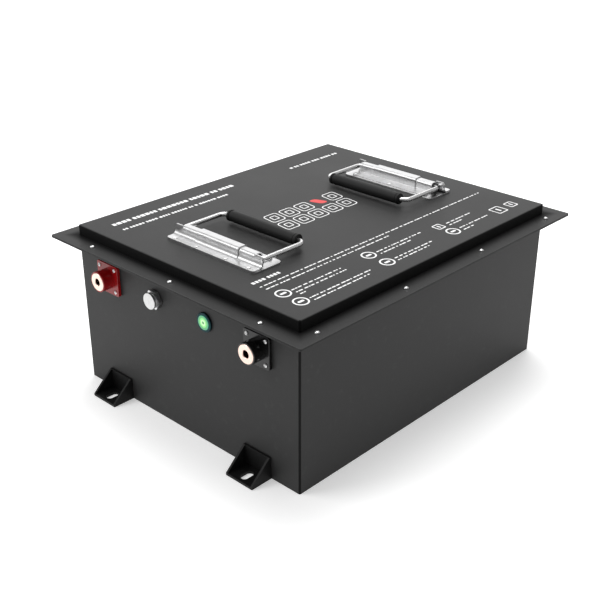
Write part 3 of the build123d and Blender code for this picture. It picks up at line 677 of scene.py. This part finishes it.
def turned_about_x(name, centre, outline, material, sides=48):
    """A closed solid of revolution about a line along X through centre. outline is a closed loop of
    (distance along X, radius)."""
    solid = bmesh.new()
    rings = []
    for side in range(sides):
        angle = 2 * math.pi * side / sides
        out_y, out_z = math.cos(angle), math.sin(angle)
        rings.append([
            solid.verts.new(centre + Vector((along, radius * out_y, radius * out_z)))
            for along, radius in outline
        ])
    for ring, following in zip(rings, rings[1:] + rings[:1]):
        for point in range(len(outline)):
            after = (point + 1) % len(outline)
            solid.faces.new((ring[point], ring[after], following[after], following[point]))
    bmesh.ops.recalc_face_normals(solid, faces=solid.faces)
    return show(name, ended(name, solid, material))


GRIP_BORE = 2.78 * MM


def grip_outline(half, radius):
    """A grip with a bead at each end, a shallow groove inside each bead and a slightly fuller
    middle."""
    bead = 3.2 * MM
    round_over = 1.1 * MM
    round_steps = 4
    waist = radius - 0.35 * MM
    fuller = 0.25 * MM
    groove_floor = waist - 0.45 * MM
    groove_start = 0.3 * MM
    groove_end = 1.0 * MM
    groove_top = 1.3 * MM
    side = [(half, GRIP_BORE), (half, radius - round_over)]
    for step in range(1, round_steps + 1):
        angle = math.pi / 2 * step / round_steps
        side.append((
            half - round_over * (1 - math.cos(angle)), radius - round_over * (1 - math.sin(angle))
        ))
    side.append((half - bead, radius))
    side.append((half - bead - groove_start, groove_floor))
    side.append((half - bead - groove_end, groove_floor))
    side.append((half - bead - groove_top, waist))
    side.append((half * 0.5, waist + fuller))
    left = [(-along, out) for along, out in reversed(side)]
    return side + [(0, radius - 0.02 * MM)] + left


for end in ENDS:
    grip_low, grip_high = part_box(f"{end}_handle_grip")
    extent = (grip_high - grip_low) / 2
    grip = turned_about_x(
        f"{end}_handle_moulded_grip", (grip_low + grip_high) / 2, grip_outline(extent.x, extent.z),
        grip_rubber,
    )
    fit(grip, f"{end}_bail", "black_rubber", f"{end}_handle_grip")


# ---------------------------------------------------------------- print on the lid


INK = 0.04 * MM
DISC_SIDES = 16


def dash_layout():
    """A geometry tree for rounded dashes: a small disc at each point, its quarters moved apart by
    the point's reach."""
    layout = Layout("printed_dashes", Corner="Float", Ink="Float", Height="Float")
    given = layout.given
    disc = layout.node(
        "GeometryNodeMeshCylinder", None,
        {"Vertices": DISC_SIDES, "Radius": given["Corner"], "Depth": given["Ink"]},
    )
    disc = layout.node(
        "GeometryNodeTransform", None,
        {"Geometry": disc, "Rotation": (0, 0, math.pi / DISC_SIDES),
         "Translation": layout.upright(given["Height"] + given["Ink"] / 2)},
    )
    x, y, _ = layout.axes(layout.node("GeometryNodeInputPosition"))
    quarter = layout.node("ShaderNodeCombineXYZ", None, {"X": x.sign(), "Y": y.sign()})
    disc = layout.node(
        "GeometryNodeStoreNamedAttribute", {"data_type": "FLOAT_VECTOR", "domain": "POINT"},
        {"Geometry": disc, "Name": "quarter", "Value": quarter},
    )
    dashes = layout.node(
        "GeometryNodeInstanceOnPoints", None, {"Points": given["Points"], "Instance": disc}
    )
    dashes = layout.node("GeometryNodeRealizeInstances", None, {"Geometry": dashes})
    as_vector = {"data_type": "FLOAT_VECTOR"}
    named = [
        layout.node("GeometryNodeInputNamedAttribute", as_vector, {"Name": name})
        for name in ("quarter", "reach")
    ]
    spread = layout.node("ShaderNodeVectorMath", {"operation": "MULTIPLY"}, dict(enumerate(named)))
    dashes = layout.node("GeometryNodeSetPosition", None, {"Geometry": dashes, "Offset": spread})
    layout.close(dashes)
    return layout


def dashes_along(x, start, end, tall, longest, shortest, space, together, dice):
    """Dashes of uneven length that fill a line of print along Y. together is the most that stand in
    one group, and groups stand three spaces apart."""
    places = []
    at = start
    left = dice.randint(1, together)
    while at < end - shortest:
        length = min(dice.uniform(shortest, longest), end - at)
        places.append((x, at + length / 2, tall, length))
        left -= 1
        at += length + space * (1 if left else 3)
        left = left or dice.randint(1, together)
    return places


# Lines of print: (x of the line's middle, start, end, height, longest and shortest dash, space,
# most dashes in a group), in millimetres on the lid. Print is read along Y, its upper edge
# towards -X. Sentences share the last five.
HEADINGS = [
    (-144.0, -187, 7, 6.2, 6.0, 3.6, 1.4, 7),
    (-124.5, -187, -25, 4.0, 4.2, 2.4, 1.1, 7),
    (-137.5, 97, 189, 4.2, 4.6, 2.6, 1.2, 6),
    (84.5, -187, -143, 4.6, 4.8, 3.0, 1.2, 9),
]
SENTENCES = [
    (96.0, -187, 191), (103.6, -186, 9),
    (123.0, -170, -96.5), (129.5, -170, -95), (135.0, -170, -162),
    (148.0, -170, -76), (154.0, -170, -87),
    (123.0, -38.5, 40), (129.0, -38.5, 17), (147.5, -38, 27), (153.0, -39, 15),
    (128.0, 80, 128), (133.6, 79, 107), (147.0, 80, 134.5), (153.4, 79, 98),
]
SENTENCE_DASH = (1.8, 6.5, 2.0, 0.9, 3)

dice = random.Random(41)
dash_places = [place for line in HEADINGS for place in dashes_along(*line, dice)]
for x, start, end in SENTENCES:
    dash_places += dashes_along(x, start, end, *SENTENCE_DASH, dice)

DASH_CORNER = 0.7 * MM
printed_dashes = dash_layout().lay(
    "lid_print_lines",
    [(x * MM, y * MM, 0) for x, y, tall, length in dash_places],
    reach=[
        (tall / 2 * MM - DASH_CORNER, length / 2 * MM - DASH_CORNER, 0)
        for x, y, tall, length in dash_places
    ],
    Corner=DASH_CORNER, Ink=INK, Height=LID_TOP, Material=white_ink,
)
fit(printed_dashes, "pack", "white_print")


CORNER_STEPS = 8


def rounded_loop(centre, half_x, half_y, corner, skew=0.0):
    """Points round a rectangle with rounded corners, in millimetres on the lid. skew leans its +X
    side along +Y."""
    loop = []
    for quarter, (side_x, side_y) in enumerate(((1, 1), (-1, 1), (-1, -1), (1, -1))):
        for step in range(CORNER_STEPS + 1):
            angle = math.pi / 2 * (quarter + step / CORNER_STEPS)
            x = side_x * (half_x - corner) + corner * math.cos(angle)
            y = side_y * (half_y - corner) + corner * math.sin(angle)
            loop.append((centre[0] + x, centre[1] + y + skew * x))
    return loop


def row_of(print_mesh, loop, z):
    """A loop's points at one height."""
    return [print_mesh.verts.new((x * MM, y * MM, z)) for x, y in loop]


def add_outline(print_mesh, outer, inner):
    """A flat frame of ink between two loops with the same number of points."""
    low, high = LID_TOP, LID_TOP + INK
    rows = [
        row_of(print_mesh, loop, z)
        for loop, z in ((outer, low), (outer, high), (inner, high), (inner, low))
    ]
    for row, following in zip(rows, rows[1:] + rows[:1]):
        for point in range(len(row)):
            after = (point + 1) % len(row)
            print_mesh.faces.new((row[point], row[after], following[after], following[point]))


def add_patch(print_mesh, loop):
    """A solid patch of ink inside a loop."""
    low, high = [row_of(print_mesh, loop, z) for z in (LID_TOP, LID_TOP + INK)]
    print_mesh.faces.new(low)
    print_mesh.faces.new(high)
    for point in range(len(loop)):
        after = (point + 1) % len(loop)
        print_mesh.faces.new((low[point], low[after], high[after], high[point]))


def inked(name, print_mesh, ink):
    """Ends a piece of print and fixes it to the lid."""
    bmesh.ops.recalc_face_normals(print_mesh, faces=print_mesh.faces)
    fit(show(name, ended(name, print_mesh, ink)), "pack", "white_print")


# Where the marks stand on the lid, in millimetres: a ring's middle, and a square's middle and half.
RINGS = ((122.3, -180.8), (147.0, -181.5), (122.5, -51), (148.0, -51), (147.8, 66.3))
SQUARES = (((128, 66), 6.5), ((147, 158), 9.0), ((147, 184), 7.0))


def print_marks():
    """Round and square outlined marks beside the lines of print, each with a plain bar in it."""
    marks = bmesh.new()
    ring_outside = 8.8
    ring_inside = 6.9
    for centre in RINGS:
        outer, inner = (rounded_loop(centre, out, out, out) for out in (ring_outside, ring_inside))
        add_outline(marks, outer, inner)
        add_patch(marks, rounded_loop(centre, 1.6, 4.2, 1.5))
    square_stroke = 1.5
    for centre, half in SQUARES:
        inside = half - square_stroke
        outer = rounded_loop(centre, half, half, 2.4)
        inner = rounded_loop(centre, inside, inside, 1.2)
        add_outline(marks, outer, inner)
        add_patch(marks, rounded_loop(centre, half * 0.45, half * 0.16, 0.7))
    inked("lid_print_marks", marks, white_ink)


def print_cells():
    """Two rows of outlined cells, the plain sign of a battery pack, and a red mark among them."""
    cells = bmesh.new()
    stroke = 1.3
    corner_loss = 1.1
    lean = -0.12
    half_x = 11.5
    half_y = 10.5
    pitch = 25.0
    red_x, red_y = (-27.0, 32.0)
    near_row = [(red_x, red_y + step * pitch) for step in (-3, -2, -1, 1)]
    far_row = [(0.0, -47.0 + step * pitch) for step in range(5)]
    for centre in near_row + far_row:
        for share, corner in ((1.0, 4.5), (0.46, 1.6)):
            x, y = half_x * share, half_y * share
            outer = rounded_loop(centre, x, y, corner, lean)
            inner = rounded_loop(centre, x - stroke, y - stroke, corner - corner_loss, lean)
            add_outline(cells, outer, inner)
    inked("lid_print_cells", cells, white_ink)
    red_mark = bmesh.new()
    add_patch(red_mark, rounded_loop((red_x, red_y), 9.0, 5.5, 4.5, 0.35))
    inked("lid_print_red_mark", red_mark, red_ink)


print_marks()
print_cells()


# ---------------------------------------------------------------- camera, light and floor

CAMERA_AZIMUTH = math.radians(43.6025)
CAMERA_ELEVATION = math.radians(26.0781)
CAMERA_PLACE = Vector((0.7500, -0.8160, 0.6283))
CAMERA_LENS = 60.56
SENSOR_WIDTH = 36
PACK_MIDDLE = Vector((0, 0, 0.1))
FLOOR_RADIUS = 9.0


def softbox(name, place, width, height, power):
    """A flat soft lamp that faces the pack."""
    light = bpy.data.lights.new(name, "AREA")
    light.shape = "RECTANGLE"
    light.size = width
    light.size_y = height
    light.energy = power
    lamp = bpy.data.objects.new(name, light)
    lamp.location = place
    lamp.rotation_mode = "QUATERNION"
    lamp.rotation_quaternion = (Vector(place) - PACK_MIDDLE).to_track_quat("Z", "Y")
    bpy.context.scene.collection.objects.link(lamp)


def studio():
    """Camera, soft lamps and a pale paper floor."""
    scene = bpy.context.scene
    scene.view_settings.view_transform = "Standard"
    scene.view_settings.look = "None"

    back = Vector((
        math.sin(CAMERA_AZIMUTH) * math.cos(CAMERA_ELEVATION),
        -math.cos(CAMERA_AZIMUTH) * math.cos(CAMERA_ELEVATION),
        math.sin(CAMERA_ELEVATION),
    ))
    right = (-back).cross(Vector((0, 0, 1))).normalized()
    up = right.cross(-back)
    lens = bpy.data.cameras.new("camera")
    lens.lens = CAMERA_LENS
    lens.sensor_width = SENSOR_WIDTH
    lens.clip_start = 0.01
    camera = bpy.data.objects.new("camera", lens)
    turned = Matrix((right, up, back)).transposed().to_4x4()
    camera.matrix_world = Matrix.Translation(CAMERA_PLACE) @ turned
    scene.collection.objects.link(camera)
    scene.camera = camera

    world = bpy.data.worlds.new("studio")
    world.use_nodes = True
    backdrop = world.node_tree.nodes["Background"].inputs
    backdrop["Color"].default_value = grey(1.0)
    backdrop["Strength"].default_value = 0.44
    scene.world = world

    softbox("key_softbox", (-1.3, -1.6, 1.9), 1.4, 1.4, 22)
    softbox("top_softbox", (-0.3, 0.5, 2.4), 1.3, 1.5, 40)
    softbox("back_softbox", (-1.7, 1.8, 1.25), 2.8, 2.0, 18)

    paper = Finish("floor_paper", Roughness=0.8, Emission_Color=grey(1.0), Emission_Strength=0.38)
    fibre = paper.noise(1.5 * MM, detail=2)
    paper.feed("Base Color", paper.blend(fibre, grey(0.90), grey(0.93)))
    disc = bmesh.new()
    bmesh.ops.create_circle(disc, cap_ends=True, segments=96, radius=FLOOR_RADIUS)
    floor = bpy.data.objects.new("floor", ended("floor", disc, paper.material))
    scene.collection.objects.link(floor)


studio()
